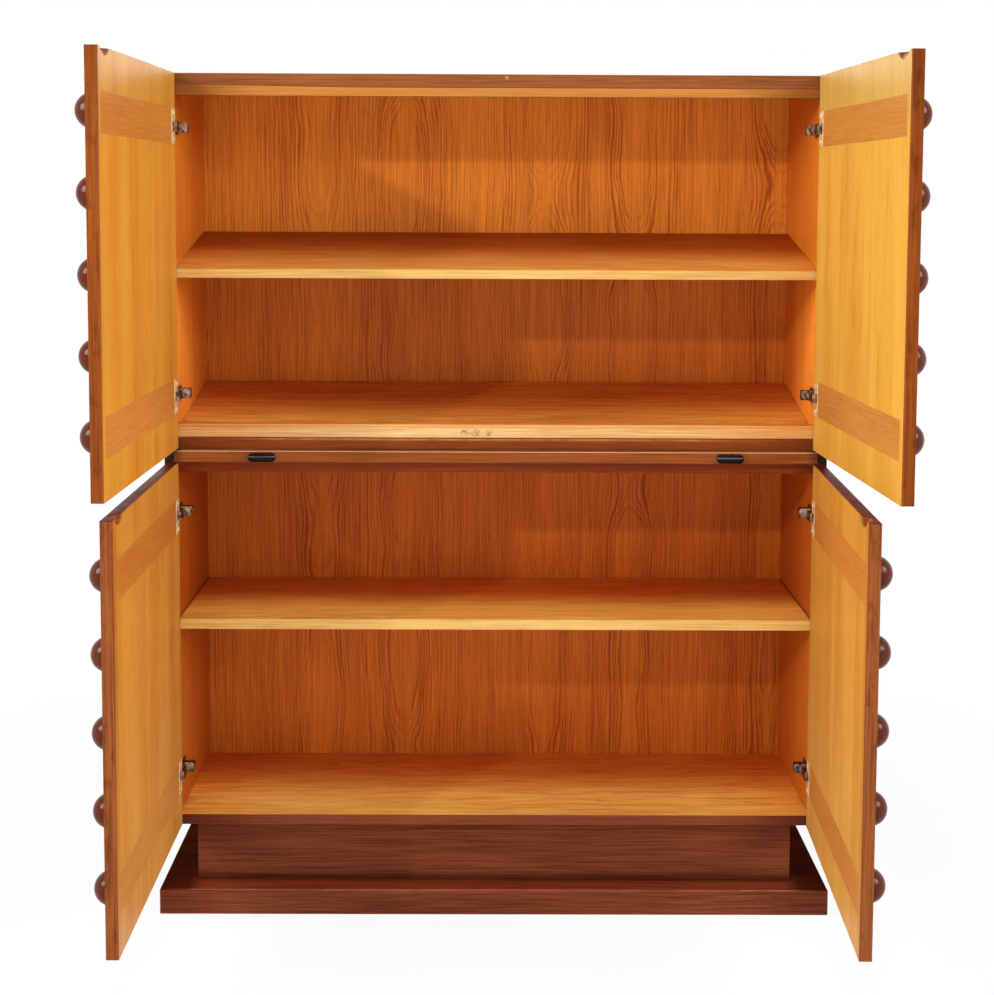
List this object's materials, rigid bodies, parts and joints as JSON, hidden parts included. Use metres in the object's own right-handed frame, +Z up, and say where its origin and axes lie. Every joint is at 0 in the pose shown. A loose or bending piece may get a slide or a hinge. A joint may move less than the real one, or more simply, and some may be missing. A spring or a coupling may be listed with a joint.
{
  "type": "drinks cabinet",
  "caption": "Tall oak drinks cabinet with dome-studded doors, sloping bottle boards above a pull-out serving slide, shelves below and a recessed plinth on a wide slab.",
  "frame": {"origin": "middle of the base slab's underside, on the floor", "axes": "+X to the right seen from the front, +Y towards the back, +Z up; the doors are on the -Y side"},
  "size_m": [1.1582, 0.9201, 1.4],
  "materials": {
    "plinth_oak": "dark stained, satin varnish",
    "carcass_oak": "stained oak veneer, satin varnish",
    "back_oak": "oak veneer, satin varnish",
    "shelf_oak": "honey oak, satin varnish",
    "slide_oak": "dark stained oak, satin varnish",
    "door_oak": "stained oak, satin varnish",
    "lining_oak": "golden oak veneer, satin varnish",
    "band_oak": "oak crossband, satin varnish",
    "dome_oak": "dark stained, gloss varnish",
    "hinge_steel": "nickel plated",
    "screw_steel": "zinc plated",
    "peg_steel": "zinc plated",
    "pull_black": "black, satin"
  },
  "bodies": {
    "carcass": {"base_slab": "plinth_oak", "riser_front": "plinth_oak", "riser_back": "plinth_oak", "riser_left": "plinth_oak", "riser_right": "plinth_oak", "bottom_board": "carcass_oak", "left_side": "carcass_oak", "right_side": "carcass_oak", "top_panel": "carcass_oak", "top_rail": "shelf_oak", "upper_back_panel": "back_oak", "lower_back_panel": "back_oak", "middle_board": "carcass_oak", "bottle_rail": "shelf_oak", "bottle_rail_cap": "shelf_oak", "sloping_floor": "shelf_oak", "floor_bearer": "back_oak", "lower_top_board": "carcass_oak", "upper_shelf": "shelf_oak", "lower_shelf": "shelf_oak", "upper_shelf_pins": "peg_steel", "lower_shelf_pins": "peg_steel", "upper_left_hinge_arms": "hinge_steel", "upper_right_hinge_arms": "hinge_steel", "lower_left_hinge_arms": "hinge_steel", "lower_right_hinge_arms": "hinge_steel", "hinge_arm_screws": "screw_steel"},
    "slide": {"slide_board": "slide_oak", "slide_front": "slide_oak", "left_pull": "pull_black", "right_pull": "pull_black", "slide_stops": "peg_steel"},
    "upper_left_door": {"upper_left_door_panel": "door_oak", "upper_left_door_lining": "lining_oak", "upper_left_door_bands": "band_oak", "upper_left_door_domes": "dome_oak", "upper_left_hinge_cups": "hinge_steel", "upper_left_hinge_pins": "screw_steel", "upper_left_cup_screws": "screw_steel"},
    "upper_right_door": {"upper_right_door_panel": "door_oak", "upper_right_door_lining": "lining_oak", "upper_right_door_bands": "band_oak", "upper_right_door_domes": "dome_oak", "upper_right_hinge_cups": "hinge_steel", "upper_right_hinge_pins": "screw_steel", "upper_right_cup_screws": "screw_steel"},
    "lower_left_door": {"lower_left_door_panel": "door_oak", "lower_left_door_lining": "lining_oak", "lower_left_door_bands": "band_oak", "lower_left_door_domes": "dome_oak", "lower_left_hinge_cups": "hinge_steel", "lower_left_hinge_pins": "screw_steel", "lower_left_cup_screws": "screw_steel"},
    "lower_right_door": {"lower_right_door_panel": "door_oak", "lower_right_door_lining": "lining_oak", "lower_right_door_bands": "band_oak", "lower_right_door_domes": "dome_oak", "lower_right_hinge_cups": "hinge_steel", "lower_right_hinge_pins": "screw_steel", "lower_right_cup_screws": "screw_steel"}
  },
  "joints": [
    {"name": "upper_left_door_hinge", "type": "hinge", "parent": "carcass", "child": "upper_left_door", "pos_m": [-0.535, -0.194, 1.094], "axis": [0, 0, -1], "range_deg": [-90.8, 4.2]},
    {"name": "upper_right_door_hinge", "type": "hinge", "parent": "carcass", "child": "upper_right_door", "pos_m": [0.535, -0.194, 1.094], "axis": [0, 0, 1], "range_deg": [-92.3, 2.7]},
    {"name": "lower_left_door_hinge", "type": "hinge", "parent": "carcass", "child": "lower_left_door", "pos_m": [-0.535, -0.194, 0.458], "axis": [0, 0, -1], "range_deg": [-89.6, 5.4]},
    {"name": "lower_right_door_hinge", "type": "hinge", "parent": "carcass", "child": "lower_right_door", "pos_m": [0.535, -0.194, 0.458], "axis": [0, 0, 1], "range_deg": [-87.7, 7.3]},
    {"name": "slide_runner", "type": "slide", "parent": "carcass", "child": "slide", "axis": [0, -1, 0], "range_m": [0, 0.24]}
  ]
}
